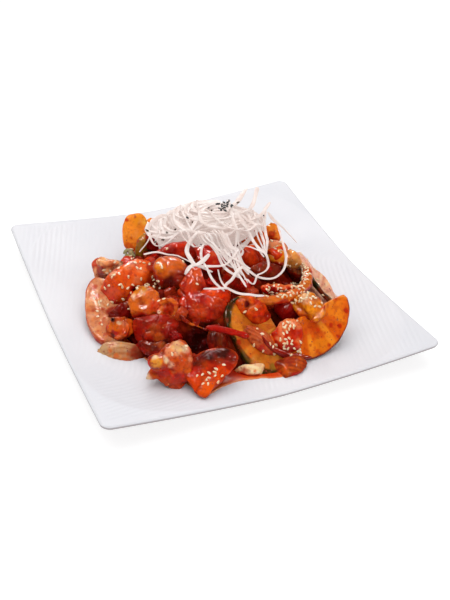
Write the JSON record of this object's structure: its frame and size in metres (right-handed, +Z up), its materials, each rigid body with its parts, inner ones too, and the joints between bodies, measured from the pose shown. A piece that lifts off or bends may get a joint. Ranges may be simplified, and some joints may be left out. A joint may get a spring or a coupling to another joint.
{
  "type": "plate of spicy squid salad",
  "caption": "Square white plate with raised corners, carrying a heap of spicy squid, apple and cucumber salad topped with a nest of crisp white noodle ribbons.",
  "frame": {"origin": "centre of the plate on the surface that it stands on", "axes": "+Z up, +X along the plate's front edge to the viewer's right, +Y from the front edge to the back edge"},
  "size_m": [0.27, 0.27, 0.0795],
  "materials": {
    "porcelain": "white glazed porcelain with a raked wave relief",
    "salad": "glossy red-orange spicy dressing over squid and cut vegetables",
    "noodle": "white fried noodle ribbons"
  },
  "bodies": {
    "root": {"plate": "porcelain", "salad_heap": "salad", "noodle_nest": "noodle"}
  },
  "joints": []
}
